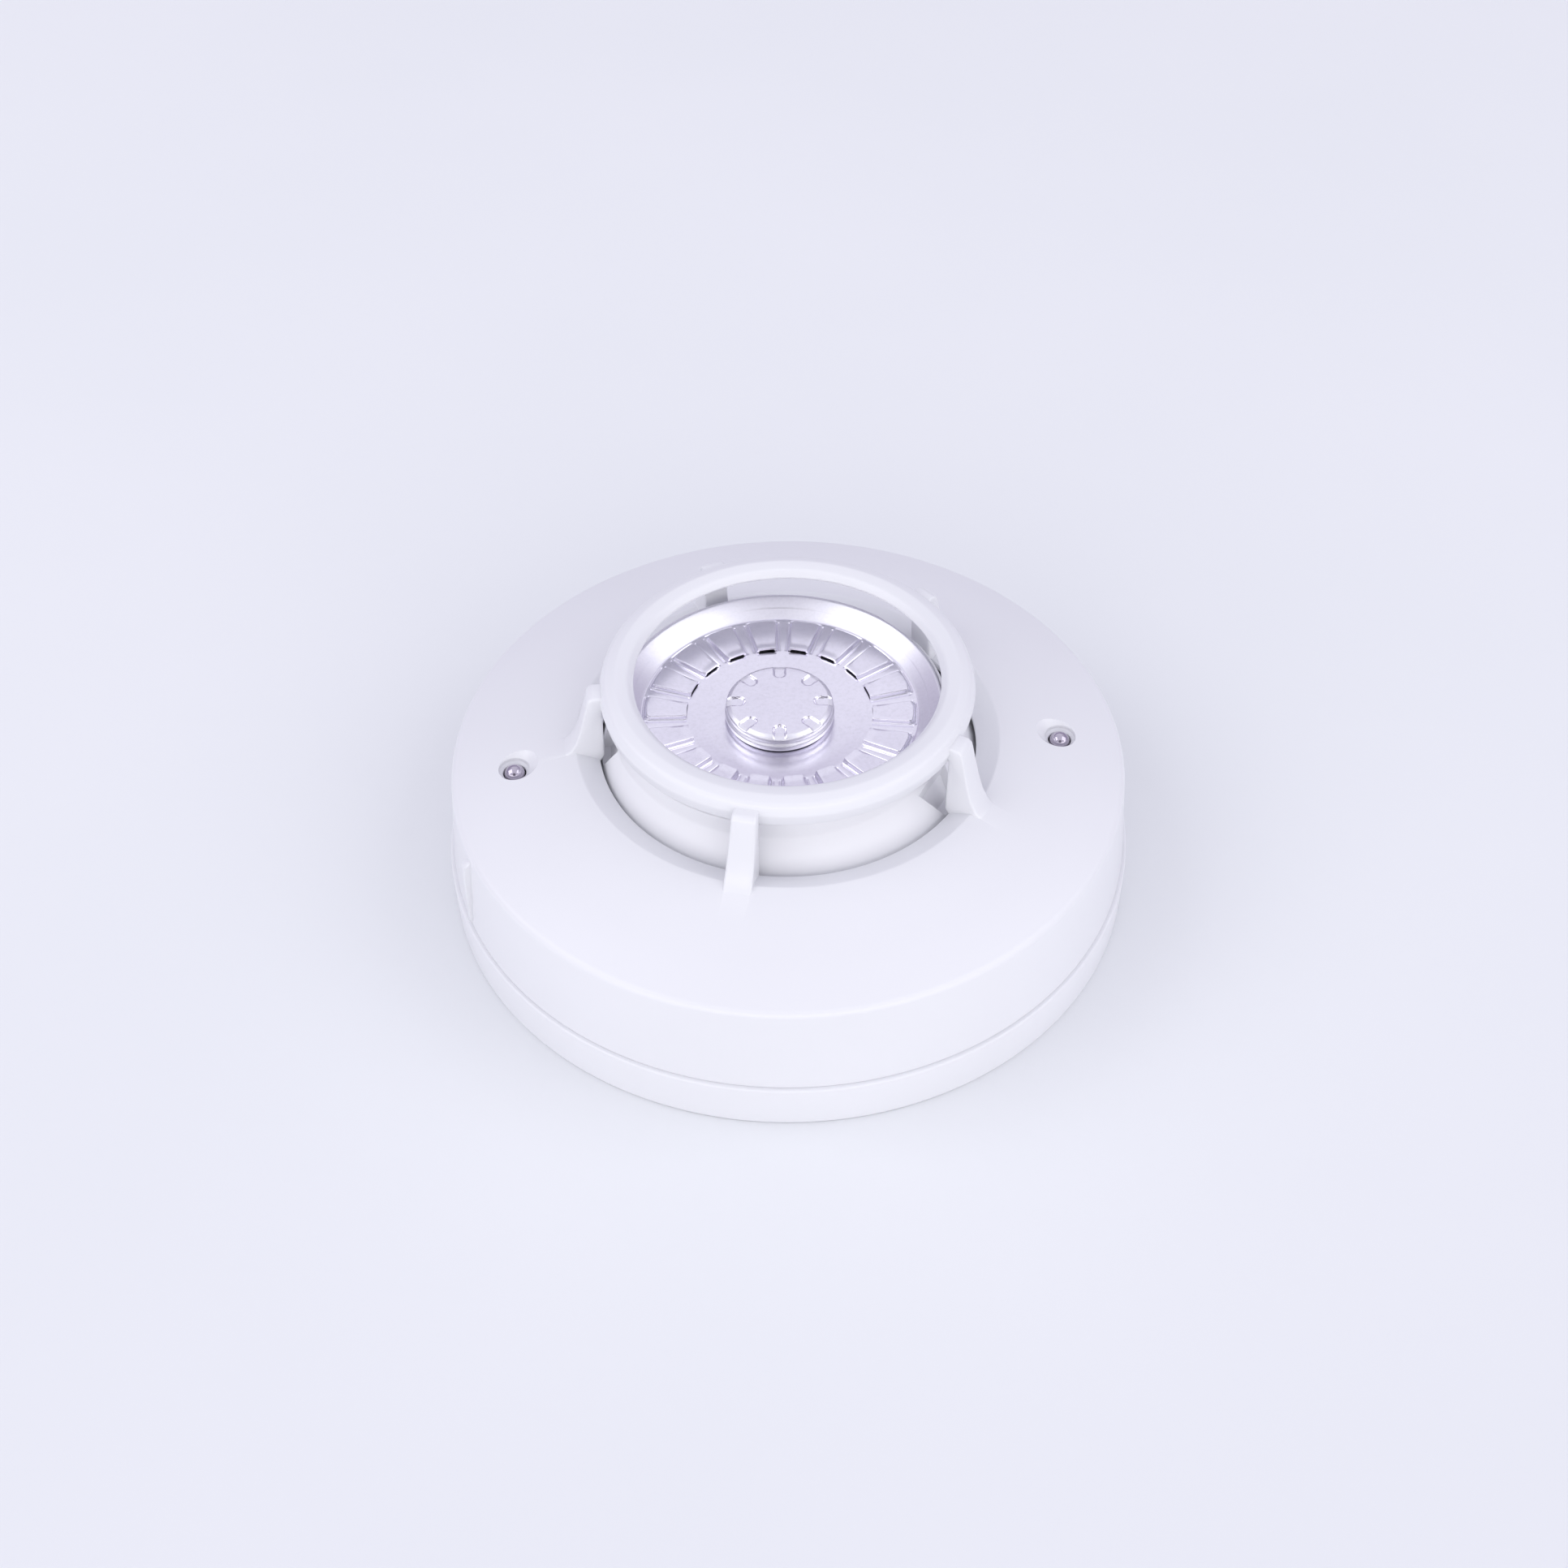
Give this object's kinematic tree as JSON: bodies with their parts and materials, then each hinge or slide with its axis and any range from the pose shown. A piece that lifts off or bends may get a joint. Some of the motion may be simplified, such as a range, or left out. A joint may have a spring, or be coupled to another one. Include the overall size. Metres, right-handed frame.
{
  "type": "heat detector",
  "caption": "Round point heat detector on a twist-lock mounting base: open guard cage over a pressed aluminium heat plate, two indicator lamps, air chamber, diaphragm and contacts inside.",
  "frame": {"origin": "centre of the mounting face, on the base's underside", "axes": "+Z away from the mounting face towards the guard cage, +X through the two indicators"},
  "size_m": [0.1, 0.1, 0.0366],
  "materials": {
    "white_plastic": "moulded, fine semi-gloss",
    "inner_white": "moulded, satin",
    "plate_aluminium": "pressed sheet, satin with polished rim",
    "spring_bronze": "tinned spring strip",
    "steel": "zinc plated",
    "silver": "silver plated",
    "black_plastic": "moulded",
    "board": "solder mask",
    "led_clear": "water-clear lens",
    "seal_rubber": "matte",
    "ivory_plastic": "moulded",
    "blue_coating": "dipped"
  },
  "bodies": {
    "base": {"mounting_base": "white_plastic", "terminal_contact_1": "spring_bronze", "terminal_contact_2": "spring_bronze", "terminal_contact_3": "spring_bronze", "terminal_contact_4": "spring_bronze", "terminal_screw_1": "steel", "terminal_screw_2": "steel", "terminal_screw_3": "steel", "terminal_screw_4": "steel", "clamp_washer_1": "steel", "clamp_washer_2": "steel", "clamp_washer_3": "steel", "clamp_washer_4": "steel"},
    "head": {"outer_cover": "white_plastic", "inner_housing": "inner_white", "rear_housing": "inner_white", "chamber_base": "inner_white", "led_spacer_left": "inner_white", "led_spacer_right": "inner_white", "heat_plate": "plate_aluminium", "element_cup": "plate_aluminium", "contact_blade_1": "spring_bronze", "contact_blade_2": "spring_bronze", "contact_blade_3": "spring_bronze", "contact_blade_4": "spring_bronze", "bimetal_disc": "spring_bronze", "diaphragm": "spring_bronze", "disc_retainer": "steel", "leak_plug": "steel", "diaphragm_ring": "steel", "leaf_screw_rise": "steel", "leaf_screw_fixed_temp": "steel", "blade_rivet_1": "steel", "blade_rivet_2": "steel", "blade_rivet_3": "steel", "blade_rivet_4": "steel", "cover_screw_1": "steel", "cover_screw_2": "steel", "cover_screw_3": "steel", "still_contact_rise": "silver", "still_contact_fixed_temp": "silver", "contact_block_rise": "black_plastic", "contact_block_fixed_temp": "black_plastic", "filter_capacitor": "black_plastic", "latching_thyristor": "black_plastic", "control_chip": "black_plastic", "bridge_rectifier": "black_plastic", "sense_resistor": "black_plastic", "circuit_board": "board", "led_left": "led_clear", "led_right": "led_clear", "chamber_seal": "seal_rubber", "surge_absorber": "blue_coating"},
    "pusher": {"diaphragm_pusher": "ivory_plastic"},
    "rise_leaf": {"contact_leaf_rise": "spring_bronze", "contact_tip_rise": "silver"},
    "bimetal_pin": {"bimetal_pin": "ivory_plastic"},
    "fixed_temp_leaf": {"contact_leaf_fixed_temp": "spring_bronze", "contact_tip_fixed_temp": "silver"}
  },
  "joints": [
    {"name": "head_twist", "type": "hinge", "parent": "base", "child": "head", "pos_m": [0, 0, 0], "axis": [0, 0, 1], "range_deg": [0, 22]},
    {"name": "diaphragm_push", "type": "slide", "parent": "head", "child": "pusher", "axis": [0, 0, -1], "range_m": [0, 0.0005], "stiffness_N_per_m": 150, "deforming": ["diaphragm"]},
    {"name": "rise_leaf_flex", "type": "hinge", "parent": "head", "child": "rise_leaf", "pos_m": [-0.01155, -0.01125, 0.01742], "axis": [-1, 0, 0], "range_deg": [0, 2.4]},
    {"name": "bimetal_push", "type": "slide", "parent": "head", "child": "bimetal_pin", "axis": [0, 0, -1], "range_m": [0, 0.0006], "stiffness_N_per_m": 300, "deforming": ["bimetal_disc"]},
    {"name": "fixed_temp_leaf_flex", "type": "hinge", "parent": "head", "child": "fixed_temp_leaf", "pos_m": [-0.00105, 0.01275, 0.01742], "axis": [1, 0, 0], "range_deg": [0, 2.9]}
  ],
  "couplings": [
    {"joint": "rise_leaf_flex", "follows": "diaphragm_push", "rad_per_m": 83.333},
    {"joint": "fixed_temp_leaf_flex", "follows": "bimetal_push", "rad_per_m": 83.333}
  ]
}
